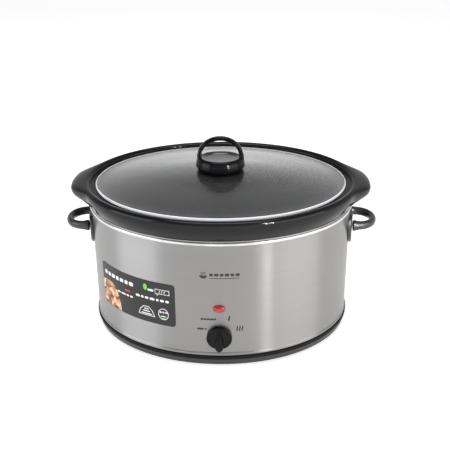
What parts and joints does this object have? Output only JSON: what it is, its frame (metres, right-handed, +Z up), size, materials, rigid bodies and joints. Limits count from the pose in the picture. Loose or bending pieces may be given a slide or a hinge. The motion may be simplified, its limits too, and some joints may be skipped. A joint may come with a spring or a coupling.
{
  "type": "slow cooker",
  "caption": "Oval slow cooker: steel shell on a tray base, lift-out glazed crock with ears, domed glass lid with arched knob, loop side handles, rotary heat dial and lamp.",
  "frame": {"origin": "on the table, under the middle of the bounding box", "axes": "+Z up, +X to the right as seen from the front, the dial faces -Y; +X is the longest extent"},
  "size_m": [0.438, 0.3044, 0.2741],
  "materials": {
    "shell_steel": "brushed stainless, satin, fine lines",
    "tray_plastic": "matte black moulded plastic",
    "foot_rubber": "matte rubber",
    "well_metal": "drawn aluminised sheet",
    "plated_hardware": "zinc-plated screws, nuts and brackets",
    "fibre_blanket": "needled ceramic fibre",
    "stoneware_glaze": "gloss black glaze",
    "lid_glass": "clear tempered glass, polished edge",
    "black_bakelite": "gloss black phenolic moulding",
    "red_lens": "translucent red jewel",
    "cream_plastic": "heat-resistant nylon and ceramic parts",
    "label_film": null,
    "print_ink": "dark grey pad-printed marks"
  },
  "bodies": {
    "cooker": {"outer_shell": "shell_steel", "base_tray": "tray_plastic", "foot_front_left": "foot_rubber", "foot_front_right": "foot_rubber", "foot_back_left": "foot_rubber", "foot_back_right": "foot_rubber", "heating_well": "well_metal", "heater_band": "plated_hardware", "insulation_blanket": "fibre_blanket", "heat_shield": "well_metal", "tie_stud": "plated_hardware", "tie_nut": "plated_hardware", "tie_washer": "plated_hardware", "shield_sleeve": "plated_hardware", "side_handle_right": "black_bakelite", "side_handle_left": "black_bakelite", "handle_screw_right_upper": "plated_hardware", "handle_screw_right_lower": "plated_hardware", "handle_screw_left_upper": "plated_hardware", "handle_screw_left_lower": "plated_hardware", "rotary_switch": "cream_plastic", "bush_nut": "plated_hardware", "indicator_lens": "red_lens", "neon_lamp": "cream_plastic", "lens_clip": "plated_hardware", "cord_gland": "tray_plastic", "thermal_fuse": "cream_plastic", "terminal_block": "cream_plastic", "info_label": "label_film"},
    "crock": {"crock": "stoneware_glaze"},
    "lid": {"lid_glass": "lid_glass", "lid_knob": "black_bakelite", "knob_gasket": "foot_rubber", "knob_washer": "plated_hardware", "knob_screw": "plated_hardware"},
    "dial": {"control_dial": "black_bakelite", "dial_shaft": "plated_hardware"}
  },
  "joints": [
    {"name": "crock_lift", "type": "slide", "parent": "cooker", "child": "crock", "axis": [0, 0, 1], "range_m": [0, 0.16]},
    {"name": "lid_lift", "type": "slide", "parent": "crock", "child": "lid", "axis": [0, 0, 1], "range_m": [0, 0.06]},
    {"name": "dial_turn", "type": "hinge", "parent": "cooker", "child": "dial", "pos_m": [0, -0.13722, 0.048], "axis": [0, 1, 0], "range_deg": [-65, 67]}
  ]
}
